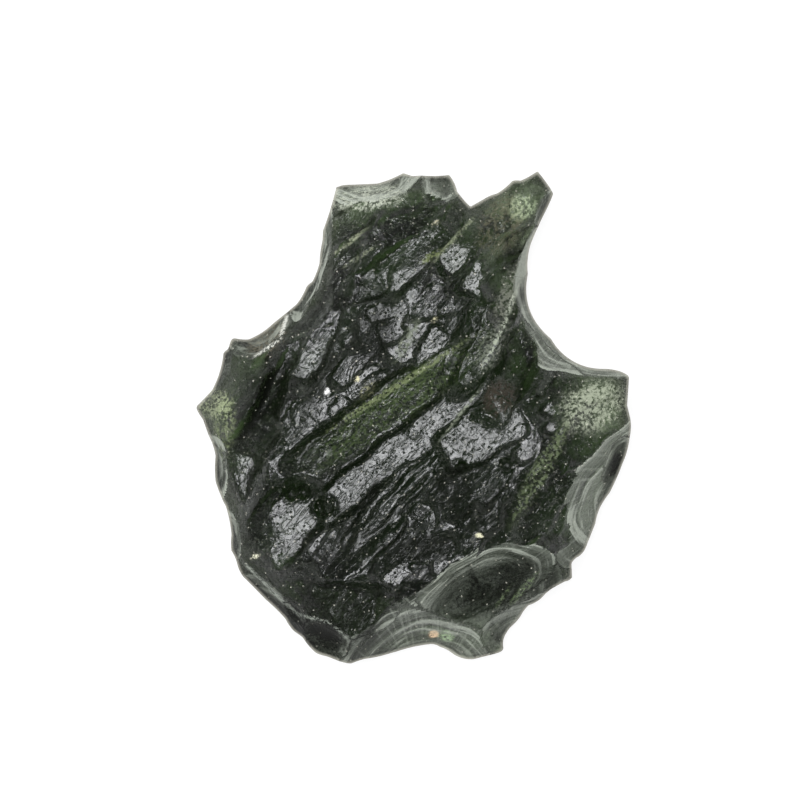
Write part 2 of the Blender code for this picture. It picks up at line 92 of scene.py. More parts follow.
# corners of the outline, clockwise from the upper left, in mm: x, y, bow of the arc to the next corner
stone["outline"] = [
    (-4.62, 13.86, 0.03), (-4.08, 14.04, 0.0), (-2.16, 14.13, -0.05), (-0.60, 14.73, 0.0),
    (-0.06, 14.52, -0.02), (2.16, 14.64, 0.05), (2.58, 13.80, 0.0), (2.64, 13.56, -0.03),
    (3.42, 12.66, 0.0), (4.26, 13.14, 0.04), (4.98, 13.44, -0.05), (5.94, 14.22, 0.03),
    (6.42, 14.22, -0.03), (7.44, 14.79, 0.03), (8.40, 13.47, 0.02), (7.98, 12.48, -0.03),
    (7.08, 10.50, -0.10), (6.93, 8.70, -0.62), (8.34, 4.80, -0.50), (11.34, 2.97, 0.03),
    (12.24, 2.88, 0.05), (12.93, 2.52, 0.0), (12.81, 0.78, 0.0), (13.02, -0.12, 0.05),
    (13.02, -1.14, 0.08), (12.66, -2.70, 0.03), (11.88, -4.50, -0.02), (11.34, -5.28, -0.05),
    (10.98, -6.36, 0.0), (10.44, -7.62, 0.06), (9.96, -8.28, -0.05), (9.48, -8.70, 0.0),
    (9.51, -9.54, 0.06), (9.06, -9.78, 0.0), (8.34, -10.20, -0.03), (7.74, -10.80, 0.06),
    (6.96, -11.28, -0.04), (6.48, -12.00, 0.03), (5.88, -12.66, -0.04), (5.46, -13.38, -0.03),
    (5.46, -13.92, 0.05), (5.16, -14.16, 0.0), (3.66, -14.61, 0.10), (2.46, -14.31, -0.05),
    (1.62, -13.86, -0.08), (0.90, -13.71, -0.05), (-0.96, -14.13, 0.0), (-1.86, -14.37, 0.02),
    (-2.88, -14.52, -0.02), (-3.72, -14.76, 0.03), (-4.32, -14.61, 0.0), (-5.22, -14.31, 0.03),
    (-5.88, -14.10, 0.04), (-6.66, -13.20, 0.0), (-7.20, -12.84, 0.04), (-7.68, -12.12, -0.03),
    (-8.88, -10.92, 0.0), (-10.20, -9.48, 0.05), (-10.56, -8.64, -0.03), (-10.92, -7.98, 0.04),
    (-10.92, -7.02, -0.04), (-11.22, -5.28, 0.03), (-11.88, -3.84, 0.05), (-11.88, -2.28, -0.05),
    (-12.24, -1.08, 0.0), (-12.60, -0.06, 0.03), (-12.99, 0.60, 0.05), (-12.84, 0.84, 0.0),
    (-12.06, 1.68, -0.10), (-11.40, 3.90, 0.03), (-11.10, 4.14, 0.0), (-10.95, 4.68, 0.05),
    (-10.68, 4.80, -0.03), (-9.90, 4.74, -0.05), (-8.70, 5.46, 0.02), (-7.56, 6.36, 0.0),
    (-7.02, 6.84, -0.05), (-6.42, 7.92, 0.02), (-6.06, 8.22, -0.03), (-5.64, 9.30, 0.04),
    (-5.46, 10.68, 0.0), (-5.43, 11.28, -0.03), (-4.80, 13.08, 0.0),
]

# scars, in mm: middle x, y, half length, half width, turn of the length in degrees, depth
stone["rimScars"] = [
    # notch on the upper right: long outer slope, then the bite itself
    (14.7, 9.7, 9.9, 5.5, 35, 6.0), (11.65, 8.05, 5.72, 5.72, 0, 8.0),
    # right edge: one long feathered flake and a chip in its upper end
    (17.2, -2.1, 10.8, 4.25, 34, 3.4), (12.3, -2.9, 2.8, 1.3, 62, 2.4),
    # big crescent flake, its hollow, the scar in the bottom edge and the bite in that
    (1.85, -13.3, 8.3, 3.95, 35, 1.9), (3.7, -10.5, 5.4, 2.7, 30, 2.1),
    (0.6, -17.7, 7.9, 6.2, 68, 4.4), (0.9, -15.5, 5.4, 5.15, 0, 3.25), (6.0, -12.9, 4.8, 2.15, 28, 2.7),
    # lower left edge: a strip, a nick, a fan and a leaf
    (-7.5, -13.8, 5.3, 1.75, -61, 2.2), (-7.2, -11.8, 1.25, 0.95, -64, 1.5),
    (-5.4, -13.3, 1.8, 1.35, -18, 1.9),
    (-2.8, -13.6, 1.6, 0.75, 46, 1.3),
    # left shoulder flake, left edge chips
    (-9.6, 6.0, 2.45, 2.25, 45, 1.9), (-12.5, 3.0, 2.4, 1.5, 65, 1.5), (-12.4, -3.4, 2.5, 1.5, 85, 1.4),
    (-11.6, -7.6, 2.4, 1.2, 80, 1.3),
    # side wall of the top block, its top facets, outer side of the horn
    (-6.4, 9.6, 4.4, 1.35, 78, 1.9), (-2.6, 14.9, 3.2, 2.3, 8, 1.8), (1.8, 14.6, 1.35, 1.8, 0, 1.6),
    (8.2, 11.8, 2.8, 0.95, 68, 1.2),
]
stone["frontScars"] = [
    # top block and horn
    (-3.4, 11.7, 2.9, 1.2, 38, 0.50), (-3.2, 9.8, 2.9, 1.1, 36, 0.50), (-3.2, 7.7, 2.6, 1.4, 20, 0.50),
    (0.1, 10.0, 1.9, 1.3, 30, 0.50), (0.6, 12.2, 2.3, 1.4, 42, 0.50), (3.0, 10.4, 2.5, 1.3, 56, 0.60),
    (6.5, 12.6, 1.1, 1.0, 0, 0.45), (5.2, 11.1, 2.2, 1.2, 40, 0.50), (5.9, 9.7, 1.5, 1.1, 70, 0.40),
    # small facets below the block
    (1.6, 8.2, 2.1, 1.1, 55, 0.50), (-0.1, 6.9, 1.3, 0.9, 50, 0.40), (-1.5, 5.6, 1.5, 1.0, 20, 0.55),
    (0.9, 4.5, 2.4, 1.0, 60, 0.60), (2.3, 6.2, 2.2, 1.0, 55, 0.50),
    # deep dark pit and the bowl below it
    (-2.9, 4.9, 2.4, 1.5, 58, 1.20), (-4.3, 6.8, 1.3, 0.7, 40, 0.65), (-2.3, 2.2, 2.6, 1.5, 35, 0.70),
    # long panel on the left and the fluted slope beside it
    (-5.6, 4.6, 3.1, 0.95, 64, 0.80), (-7.0, 4.2, 3.0, 0.9, 60, 0.55), (-4.7, 1.6, 3.0, 1.2, 55, 0.55),
    (-8.2, 2.6, 2.9, 1.7, 55, 0.50),
    # long green flute, the bright flute under it and the fine flutes beside that
    (-1.2, 0.35, 7.0, 1.45, 34, 1.00), (-0.6, -1.9, 7.0, 1.15, 37, 0.80), (1.2, -3.0, 5.6, 0.75, 47, 0.55),
    (-6.6, -2.6, 3.2, 1.5, 52, 0.55),
    # lower left facets
    (-8.1, -6.8, 3.3, 1.5, 57, 0.80), (-6.0, -6.3, 2.8, 1.1, 70, 0.65), (-10.0, -3.6, 2.6, 1.5, 78, 0.55),
    (-4.6, -11.2, 3.3, 2.0, 8, 1.10), (-6.9, -9.6, 2.2, 1.3, 10, 0.60), (-3.3, -7.4, 3.1, 1.5, 42, 0.55),
    # lower middle
    (2.3, -4.4, 2.2, 1.7, 75, 0.65), (4.0, -1.3, 3.3, 2.1, 35, 0.60), (5.3, 0.9, 2.0, 1.4, 60, 0.60),
    (0.3, -8.7, 3.1, 2.0, 20, 0.95), (5.0, -6.3, 3.0, 1.9, 62, 0.55), (1.2, -6.3, 2.8, 1.1, 30, 0.50),
    # panels either side of the long crest
    (4.6, 7.6, 2.9, 1.3, 63, 0.70), (3.4, 4.4, 2.7, 1.2, 64, 0.65), (6.6, 5.2, 2.6, 1.0, 70, 0.65),
    (2.3, 1.9, 2.2, 1.1, 50, 0.50),
    # right side
    (6.3, 2.3, 1.45, 1.3, 0, 0.60), (10.2, 0.6, 2.5, 2.0, 20, 0.60), (8.0, -1.6, 3.2, 1.4, 60, 0.60),
    (7.0, -4.2, 3.2, 1.3, 65, 0.60), (8.7, 1.9, 1.8, 1.2, 40, 0.50),
    # shallow round dents on the left
    (-7.7, 0.4, 1.3, 1.15, 0, 0.40), (-7.6, -1.1, 1.3, 1.15, 0, 0.40), (-10.2, 1.6, 1.9, 1.4, 60, 0.45),
]
stone["backScars"] = [
    (-9.5, 1.5, 3.6, 2.8, 60, 1.7), (9.6, -1.2, 3.6, 2.8, 70, 1.7), (7.2, -9.6, 3.6, 2.6, 40, 1.5),
    (-6.0, -10.2, 3.8, 2.6, -40, 1.6), (-2.4, 12.2, 3.6, 2.6, 10, 1.8), (6.3, 11.2, 2.8, 1.9, 50, 1.4),
    (2.4, 9.0, 3.2, 2.0, 70, 1.1), (-5.6, 7.0, 3.4, 2.0, 55, 1.3), (0.6, -11.2, 3.6, 2.2, 5, 1.5),
    (8.2, 4.2, 3.0, 2.0, -40, 1.3), (-9.6, -5.4, 3.0, 2.0, 75, 1.3), (4.8, 5.2, 2.6, 1.8, 30, 0.8),
    (-3.2, 4.2, 2.6, 2.0, 20, 0.6), (7.0, -5.0, 2.6, 1.6, 80, 0.6), (-5.6, -4.6, 2.2, 1.5, 40, 0.5),
    (0.2, -7.6, 2.6, 1.4, 10, 0.6),
]
# seeded small dents on the front and on the back; stretch and depth are shares of a dent's size
stone["chips"] = {"count": 420, "field": (13.0, 14.8), "smallest": 0.12, "largest": 0.55,
                  "stretch": (1.0, 2.2), "depth": 0.16, "turn": 47, "turnSpread": 20, "seed": 8}
stone["backChips"] = {**stone["chips"], "count": 380, "smallest": 0.20, "largest": 1.30, "depth": 0.20,
                      "turn": 52, "turnSpread": 30, "seed": 21}
# seeded flat facets: tip is how far they lean at random, follow how far they lean with the dome
stone["flatFillers"] = {"count": 170, "field": (13.0, 14.8), "halfLength": 2.4, "halfWidth": 0.75,
                        "sizes": (0.6, 1.4), "depth": 0.55, "depths": (0.3, 1.0), "turn": 45,
                        "turnSpread": 14, "tip": 0.10, "follow": 0.8, "steepest": 0.6, "step": 0.4,
                        "margin": 1.0, "seed": 4}
# flat facets: middle x, y, half length, half width, turn, how far they lie under what is around them,
# slope in x and in y
stone["flats"] = [
    # bright facets on the block and below it; they lean a little to the upper left
    (2.7, 10.1, 1.40, 0.75, 55, 0.10, 0.06, -0.06), (4.1, 8.5, 1.35, 0.80, 60, 0.10, 0.06, -0.06),
    (0.0, 6.9, 0.70, 0.45, 50, 0.08, 0.05, -0.05), (-1.9, 6.15, 0.75, 0.50, 20, 0.10, 0.07, -0.05),
    (-1.4, 5.0, 0.75, 0.60, 25, 0.15, 0.05, -0.07), (1.1, 4.2, 1.25, 0.65, 60, 0.12, 0.06, -0.06),
    (1.8, 13.7, 0.9, 0.7, 20, 0.10, 0.02, -0.25), (-3.2, 7.7, 1.9, 0.8, 18, 0.12, -0.10, -0.15),
    # long bright panel on the left with a step beside it, and a small one under it
    (-5.8, 4.7, 2.5, 0.80, 66, 0.34, 0.06, -0.06), (-7.0, 4.3, 2.3, 0.30, 66, 0.16, 0.28, -0.10),
    (-4.3, 0.7, 0.65, 0.45, 45, 0.10, 0.06, -0.06),
    # long green slope and the long bright flat at its foot
    (-1.3, 0.45, 6.6, 1.35, 35, 0.28, 0.24, -0.34), (-0.6, -1.75, 6.2, 0.95, 38, 0.62, 0.05, -0.07),
    # bright flats at the lower left
    (-7.7, -6.7, 2.8, 1.30, 52, 0.28, 0.06, -0.06), (-5.9, -6.3, 1.9, 0.75, 66, 0.32, 0.05, -0.06),
    (-10.5, -3.6, 1.5, 0.85, 80, 0.22, 0.10, -0.06),
    # bumpy bright flat right of the middle, the dark round ones below and above it
    (4.1, -0.85, 2.6, 1.4, 32, 0.18, 0.07, -0.06), (2.4, -4.1, 1.7, 1.2, 80, 0.22, -0.20, 0.12),
    (5.2, 1.2, 1.5, 0.9, 60, 0.20, -0.18, -0.10),
    # small bright ones on the right
    (8.3, 0.9, 0.60, 0.40, 60, 0.08, 0.06, -0.06), (8.2, -0.3, 0.50, 0.38, 60, 0.08, 0.06, -0.06),
    (6.5, 2.7, 0.50, 0.42, 40, 0.10, 0.06, -0.06),
    # dark hollows at the bottom with bright patches beside them
    (-4.7, -11.2, 2.6, 1.4, -8, 0.25, -0.16, 0.10), (0.3, -7.7, 2.0, 0.8, 10, 0.20, -0.14, 0.12),
    (-1.1, -9.7, 1.15, 0.70, 42, 0.10, 0.06, -0.06), (2.0, -8.5, 1.0, 0.45, 20, 0.10, 0.06, -0.06),
    (-3.0, -10.3, 0.9, 0.60, 60, 0.10, 0.06, -0.06),
    # fine flutes right of the long bright flat
    (0.7, -1.75, 2.9, 0.13, 49, 0.42, 0.16, -0.14), (1.0, -2.05, 2.8, 0.13, 49, 0.36, -0.14, 0.10),
    (1.3, -2.35, 2.6, 0.13, 49, 0.30, 0.16, -0.14), (1.6, -2.65, 2.3, 0.13, 49, 0.24, -0.14, 0.10),
    (1.9, -2.95, 2.0, 0.13, 49, 0.18, 0.16, -0.14),
    # slopes that stay dark or grey
    (4.5, 4.7, 3.0, 0.80, 64, 0.25, 0.30, -0.20), (6.9, 5.4, 2.8, 0.75, 68, 0.25, -0.42, -0.16),
    (-7.4, 2.2, 2.6, 1.2, 58, 0.15, 0.26, -0.22), (-4.6, -2.8, 2.8, 1.0, 52, 0.12, 0.22, -0.16),
    (7.2, -4.4, 3.0, 1.1, 64, 0.15, -0.30, 0.12), (-3.0, -7.3, 2.8, 1.1, 42, 0.15, -0.16, 0.22),
    (3.9, 6.3, 1.7, 0.6, 58, 0.25, -0.22, 0.12), (-0.3, 9.4, 2.0, 0.9, 36, 0.12, 0.20, -0.24),
]
# opened gas bubbles: x, y, radius, depth
stone["bubbles"] = [
    (-7.20, -4.48, 0.40, 0.30), (-6.52, -4.36, 0.42, 0.32), (-5.28, -5.28, 0.60, 0.38),
    (2.88, -2.94, 0.38, 0.25), (5.46, -2.70, 0.40, 0.25), (6.48, -4.17, 0.42, 0.28),
    (-10.7, 4.3, 0.42, 0.28), (7.32, 13.86, 0.46, 0.30), (1.24, -13.0, 0.40, 0.22),
]


def outlinePoints():
    # each stretch between two corners is a flat parabola whose middle stands off by the bow
    rows = []
    corners = stone["outline"]
    for (x0, y0, bow), (x1, y1, _) in zip(corners, corners[1:] + corners[:1]):
        chord = math.hypot(x1 - x0, y1 - y0)
        t = np.linspace(0.0, 1.0, max(2, int(chord / stone["arcStep"]) + 1), endpoint=False)
        off = 4.0 * bow * t * (1.0 - t) / chord
        wide, tall = x1 - x0, y1 - y0
        rows.append(np.column_stack([x0 + wide * t - tall * off, y0 + tall * t + wide * off]))
    return np.concatenate(rows)


def squareToOutline(outline, cells):
    # ring k of a square grid becomes the outline, shrunk to k / half about the heart;
    # the way round the square ring gives the way round the outline
    half = cells // 2
    i, j = np.meshgrid(np.arange(-half, half + 1), np.arange(-half, half + 1), indexing="ij")
    ring = np.maximum(np.abs(i), np.abs(j))
    across = 2.0 * np.where(ring == 0, 1, ring)
    side = np.select([(j == ring) & (i < ring), (i == ring) & (j > -ring), (j == -ring) & (i > -ring)],
                     [(i + ring) / across, 1.0 + (ring - j) / across, 2.0 + (ring - i) / across],
                     3.0 + (j + ring) / across)
    share = np.mod(side / 4.0, 1.0)
    loop = np.vstack([outline, outline[:1]])
    walked = np.concatenate([[0.0], np.cumsum(np.hypot(*np.diff(loop, axis=0).T))])
    rimX = np.interp(share * walked[-1], walked, loop[:, 0])
    rimY = np.interp(share * walked[-1], walked, loop[:, 1])
    heartX, heartY = stone["heart"]
    scale = ring / half
    return heartX + (rimX - heartX) * scale, heartY + (rimY - heartY) * scale, rimX, rimY, ring == half


def rimDistance(x, y, outline):
    # smooth distance: one over the root of half the outline's integral of distance to the power -3
    total = np.zeros(x.shape)
    for p0, p1 in zip(outline, np.roll(outline, -1, axis=0)):
        length = math.hypot(*(p1 - p0))
        alongX, alongY = (p1 - p0) / length
        start = (p0[0] - x) * alongX + (p0[1] - y) * alongY
        off = np.maximum(np.abs((p0[0] - x) * alongY - (p0[1] - y) * alongX), 1e-3)
        end = start + length
        total += (end / np.hypot(off, end) - start / np.hypot(off, start)) / off ** 2
    return np.sqrt(2.0 / np.maximum(total, 1e-9))


def ovalPlace(x, y, cx, cy, halfLength, halfWidth, turn):
    # how far along and across a turned oval, as shares of its half length and half width
    c, s = np.cos(np.radians(turn)), np.sin(np.radians(turn))
    return ((x - cx) * c + (y - cy) * s) / halfLength, ((y - cy) * c - (x - cx) * s) / halfWidth


def bowls(x, y, scars, rings=0.0, ringHeight=0.0):
    # each scar is a paraboloid over an ellipse, depth * (1 - u * u - v * v), with rings on even steps
    # of its radius that fade out towards the middle
    for *place, depth in scars:
        u, v = ovalPlace(x, y, *place)
        q = u * u + v * v
        ring = np.cos(2.0 * np.pi * rings * np.sqrt(q + 1e-9))
        yield depth * (1.0 - q) + ringHeight * np.minimum(q, 1.0) * ring


def flats(x, y, dome, laid):
    # each facet is a plane inside a rounded rectangle, (u ** 4 + v ** 4) ** 0.25 < 1, and beyond it
    # climbs at a steady slope; what is given is how far it lies under the dome
    for cx, cy, halfLength, halfWidth, turn, height, slopeX, slopeY in laid:
        u, v = ovalPlace(x, y, cx, cy, halfLength, halfWidth, turn)
        plane = height + slopeX * (x - cx) + slopeY * (y - cy)
        out = (u ** 4 + v ** 4) ** 0.25
        yield dome - plane - stone["wallSlope"] * halfWidth * np.maximum(out - 1.0, 0.0)


def topCut(bowlPlace, flatPlace, dome, laid):
    # how deep the front's bowls and flat facets cut, each looked up at its own place
    shallow = [(*scar[:5], scar[5] * stone["bowlShare"]) for scar in stone["frontScars"]]
    return deepest([*bowls(*bowlPlace, shallow), *flats(*flatPlace, dome, laid)], stone["ridgeSharpness"])


def laidFlats(outline):
    # seeded facets first, at their height under the dome, then the listed ones,
    # each under what the bowls and the seeded facets leave at its middle
    def rows(table, cut):
        x, y = table[:, 0], table[:, 1]
        heights = frontDome(x, y, rimDistance(x, y, outline)) - cut(x, y) - table[:, 5]
        return np.column_stack([table[:, :5], heights, table[:, 6:]])

    def around(x, y):
        return topCut((x, y), (x, y), frontDome(x, y, rimDistance(x, y, outline)), seeded)

    seeded = rows(np.array(flatFillers(outline)), lambda x, y: 0.0)
    return np.vstack([seeded, rows(np.array(stone["flats"]), around)])


def flatFillers(outline):
    # seeded facets along the grain; each lies along the dome where it is, tipped a little at random
    look = stone["flatFillers"]
    random = np.random.default_rng(look["seed"])
    count = look["count"]
    x = random.uniform(-look["field"][0], look["field"][0], count)
    y = random.uniform(-look["field"][1], look["field"][1], count)
    size = random.uniform(*look["sizes"], count)
    turn = look["turn"] + random.normal(size=count) * look["turnSpread"]
    depth = look["depth"] * random.uniform(*look["depths"], count)
    tipX, tipY = random.normal(size=(2, count)) * look["tip"]
    heartX, heartY = stone["heart"]
    around = np.arctan2(outline[:, 1] - heartY, outline[:, 0] - heartX)
    order = np.argsort(around)
    edge = np.hypot(outline[:, 0] - heartX, outline[:, 1] - heartY)
    room = np.interp(np.arctan2(y - heartY, x - heartX), around[order], edge[order]) - look["margin"]
    inside = np.hypot(x - heartX, y - heartY) < room

    def top(dx, dy):
        return frontDome(x + dx, y + dy, rimDistance(x + dx, y + dy, outline))

    def slope(dx, dy, tip):
        rise = (top(dx, dy) - top(-dx, -dy)) / (2 * look["step"])
        return np.clip(rise, -look["steepest"], look["steepest"]) * look["follow"] + tip

    slopes = slope(look["step"], 0, tipX), slope(0, look["step"], tipY)
    rows = np.column_stack([x, y, size * look["halfLength"], size * look["halfWidth"], turn, depth, *slopes])
    return rows[inside].tolist()


def deepest(depths, sharpness):
    # soft maximum of the depths and zero: log(1 + sum(exp(k * depth))) / k; the clip keeps exp in range
    total = 1.0
    for depth in depths:
        total = total + np.exp(np.clip(sharpness * depth, -60.0, 500.0))
    return np.log(total) / sharpness


def swell(x, y, waves):
    # sum of long low waves, each a sine one way times a cosine of half the pace the other way
    total = np.zeros(np.shape(x))
    for length, height, turn in waves:
        c, s = math.cos(math.radians(turn)), math.sin(math.radians(turn))
        wave = np.sin(2.0 * np.pi * (x * c + y * s) / length)
        total += height * wave * np.cos(np.pi * (y * c - x * s) / length)
    return total


def wander(x, y, far, lengths):
    # to and fro by sines of the other coordinate, so that no scar is a perfect oval
    shortWave, longWave = (2.0 * np.pi / length for length in lengths)
    dx = np.sin(y * longWave + 0.7 * np.sin(x * shortWave)) + 0.5 * np.sin((x + y) * shortWave + 1.3)
    dy = np.sin(x * longWave + 0.7 * np.sin(y * shortWave + 2.1)) + 0.5 * np.sin((x - y) * shortWave)
    return x + far * dx, y + far * dy


def grain(x, y):
    # flow lines: seeded sine waves whose crests all run near the grain, the short ones lower
    random = np.random.default_rng(stone["grainSeed"])
    shortest, longest = stone["grainLengths"]
    total = np.zeros(x.shape)
    for _ in range(stone["grainWaves"]):
        length = shortest * (longest / shortest) ** random.uniform()
        turn = math.radians(stone["grainTurn"] + 90 + random.normal() * stone["grainSpread"])
        phase = random.uniform(0, 2 * np.pi)
        across = x * math.cos(turn) + y * math.sin(turn)
        total += length / longest * np.sin(2.0 * np.pi * across / length + phase)
    return total * stone["grainHeight"]


def openedBubbles(x, y):
    # each is a hollow, a half circle in section, with a lip round it that is a narrow bell curve
    total = np.zeros(x.shape)
    for cx, cy, radius, depth in stone["bubbles"]:
        away = np.hypot(x - cx, y - cy) / radius
        total -= depth * np.sqrt(np.maximum(1.0 - away * away, 0.0))
        total += depth * stone["lipHeight"] * np.exp(-((away - stone["lipPlace"]) / stone["lipWidth"]) ** 2)
    return total


def fromRim(reach, spread):
    # 0 at the rim and nearly 1 past two or three times the spread: 1 - exp(-distance / spread)
    return 1.0 - np.exp(-reach / spread)


def frontDome(x, y, reach):
    # rises from the rim, leans a little and has the swells on it
    rise = stone["frontRise"] + stone["leanX"] * x + stone["leanY"] * y + swell(x, y, stone["swells"])
    return stone["frontRim"] + rise * fromRim(reach, stone["frontSpread"])


def chips(look):
    # seeded small dents, many small ones to each large one: the sizes go in even ratios
    random = np.random.default_rng(look["seed"])
    rows = []
    for _ in range(look["count"]):
        cx = random.uniform(-look["field"][0], look["field"][0])
        cy = random.uniform(-look["field"][1], look["field"][1])
        size = look["smallest"] * (look["largest"] / look["smallest"]) ** random.uniform()
        length = size * random.uniform(*look["stretch"])
        turn = look["turn"] + random.normal() * look["turnSpread"]
        rows.append((cx, cy, length, size, turn, size * look["depth"]))
    return rows


def frontHeight(x, y, reach, laid):
    # the dome less the deepest scar at each point; flow lines and dents stay out of the rim scars
    dome = frontDome(x, y, reach)
    wx, wy = wander(x, y, stone["wander"], stone["wanderLengths"])
    rx, ry = wander(wx, wy, stone["ragged"], stone["raggedLengths"])
    rimBowls = bowls(wx, wy, stone["rimScars"], stone["rings"], stone["ringHeight"])
    rimCut = deepest(rimBowls, stone["ridgeSharpness"])
    innerCut = topCut((wx, wy), (rx, ry), dome, laid)
    fine = grain(wx, wy) - deepest(bowls(x, y, chips(stone["chips"])), stone["chipSharpness"])
    fine = (fine * (innerCut > rimCut) + openedBubbles(x, y)) * fromRim(reach, stone["fineSpread"])
    return np.maximum(dome - np.maximum(rimCut, innerCut) + fine, stone["rimLowest"])


def scarMarks(x, y, scars, otherCut):
    # for the material: where these scars cut deeper than the rest, how far out in the scar in mm, the
    # direction from its middle as a unit step in x and in y, and how strong the rings are
    wx, wy = wander(x, y, stone["wander"], stone["wanderLengths"])
    depths = np.array(list(bowls(wx, wy, scars)))
    which = depths.argmax(axis=0)
    place = [np.array(column)[which] for column in zip(*scars)][:5]
    u, v = ovalPlace(wx, wy, *place)
    radius = np.maximum(np.hypot(u, v), 1e-6)
    halfLength, halfWidth = place[2:4]
    out = radius * np.sqrt(halfLength * halfWidth)
    ringed = np.clip((radius - stone["ringsFrom"]) / stone["ringsFade"], 0.0, 1.0)
    outStep, xStep = stone["scarSteps"]
    stepX, stepY = u / radius + which * xStep, v / radius
    return depths.max(axis=0) > otherCut, out + which * outStep, stepX, stepY, ringed


def backHeight(x, y, reach):
    # a dome that hangs from the rim, cut upwards where it is scarred
    drop = stone["backDrop"] + swell(x, y, stone["backSwells"])
    scarred = deepest(bowls(x, y, stone["backScars"]), stone["backSharpness"])
    return stone["backRim"] - drop * fromRim(reach, stone["backSpread"]) + scarred


def backDents(x, y, reach):
    # dents and flow lines on the back, none at the rim
    wx, wy = wander(x, y, stone["wander"], stone["wanderLengths"])
    dents = deepest(bowls(wx, wy, chips(stone["backChips"])), stone["chipSharpness"])
    return (dents + grain(wx, wy)) * fromRim(reach, stone["fineSpread"])


def smoothed(height):
    # each point becomes the mean of its three by three neighbours, many times over
    for _ in range(stone["smoothings"]):
        wide = np.pad(height, 1, mode="edge")
        rows = (wide[:-2] + wide[1:-1] + wide[2:]) / 3.0
        height = (rows[:, :-2] + rows[:, 1:-1] + rows[:, 2:]) / 3.0
    return height


def ovals(x, y, rows, soft):
    # for each row, 1 inside an oval and 0 outside it, by a smooth step of the oval's own radius
    for row in rows:
        away = np.hypot(*ovalPlace(x, y, *row[:5]))
        share = np.clip((1.0 + soft - away) / (2.0 * soft), 0.0, 1.0)
        yield share * share * (3.0 - 2.0 * share)


def etchedAndPaintedPatches(x, y):
    # dull patches laid one over another, etched frost, flecks and grains together with painted glow and
    # painted highlights: joint colour, joint share in the fourth place
    colour = np.zeros((*x.shape, 4))
    patches = ovals(x, y, glass["patches"], glass["patchSoft"])
    for (*_, tone, strength), oval in zip(glass["patches"], patches):
        added = oval * strength
        joint = colour[..., 3] + added * (1.0 - colour[..., 3])
        colour[..., :3] += (np.array(tone) - colour[..., :3]) * (added / (joint + 0.001))[..., None]
        colour[..., 3] = joint
    return colour


def shading(x, y):
    # dark places: the sum of their ovals
    shades = ovals(x, y, glass["shades"], glass["shadeSoft"])
    return sum(row[5] * oval for row, oval in zip(glass["shades"], shades))


def makeStone():
    outline = outlinePoints()
    x, y, rimX, rimY, onRim = squareToOutline(outline, stone["cells"])
    reach = rimDistance(x, y, outline)
    edge = np.zeros(x.shape)
    laid = laidFlats(outline)
    rim = frontHeight(rimX, rimY, edge, laid)
    front = np.where(onRim, rim, frontHeight(x, y, reach, laid))
    hang = np.exp(-reach / stone["rimBlend"])
    back = backHeight(x, y, reach) + (rim - backHeight(rimX, rimY, edge)) * hang
    back = back + backDents(x, y, reach)
    back = np.maximum(np.minimum(back, front - stone["thinnest"] * (1.0 - hang)), 0.0)

    # the two sheets share the rim's row of points
    inner = ~onRim
    frontIndex = np.arange(x.size).reshape(x.shape)
    backIndex = frontIndex.copy()
    backIndex[inner] = x.size + np.arange(np.count_nonzero(inner))
    points = np.concatenate([np.stack([x.ravel(), y.ravel(), front.ravel()], axis=1),
                             np.stack([x[inner], y[inner], back[inner]], axis=1)]) * mm
    points[:, 0] += midX - points[:, 0].min() / 2 - points[:, 0].max() / 2
    points[:, 1] += midY - points[:, 1].min() / 2 - points[:, 1].max() / 2
    points[:, 2] += low.z
    faces = []
    for index, order in ((frontIndex, (0, 1, 2, 3)), (backIndex, (0, 3, 2, 1))):
        corners = (index[:-1, :-1], index[1:, :-1], index[1:, 1:], index[:-1, 1:])
        faces.append(np.stack([corners[k] for k in order], axis=-1).reshape(-1, 4))
    faces = np.concatenate(faces)

    mesh = bpy.data.meshes.new("moldaviteGlass")
    mesh.vertices.add(len(points))
    mesh.vertices.foreach_set("co", points.ravel())
    mesh.loops.add(faces.size)
    mesh.loops.foreach_set("vertex_index", faces.ravel())
    mesh.polygons.add(len(faces))
    mesh.polygons.foreach_set("loop_start", np.arange(len(faces)) * 4)
    mesh.update(calc_edges=True)
    mesh.validate()
    mesh.shade_smooth()
    # what the material reads at each point, first of the front and then of the back
    marks = scarMarks(x, y, stone["rimScars"], topCut((x, y), (x, y), frontDome(x, y, reach), laid))
    backMarks = scarMarks(x[inner], y[inner], stone["backScars"], 0.0)
    backMarks = (backMarks[0] * stone["backScarShare"], *backMarks[1:])
    names = ("inScar", "out", "stepX", "stepY", "ringed", "reach", "shade", "hollowShade")
    # the last one, how far a point lies below its smoothed neighbours, is for the painted shade in hollows
    onFront = (*marks, np.where(onRim, 0.0, reach), shading(x, y), smoothed(front) - front)
    onBack = (*backMarks, stone["backReach"], 0.0, (back - smoothed(back))[inner])
    for name, value, below in zip(names, onFront, onBack):
        layer = mesh.attributes.new(name, "FLOAT", "POINT")
        below = np.broadcast_to(below, np.count_nonzero(inner))
        layer.data.foreach_set("value", np.concatenate([value.ravel(), below]))
    # the dull patches, painted glow and painted highlights among them
    etchedAndPainted = mesh.attributes.new("etchedAndPainted", "FLOAT_COLOR", "POINT")
    plainBack = np.zeros((np.count_nonzero(inner), 4))
    etchedAndPainted.data.foreach_set("color", np.concatenate([etchedAndPaintedPatches(x, y).reshape(-1, 4), plainBack]).ravel())
    mesh.set_sharp_from_angle(angle=math.radians(stone["sharpAngle"]))
    made = bpy.data.objects.new("moldaviteGlass", mesh)
    bpy.context.scene.collection.objects.link(made)
    return made


# materials

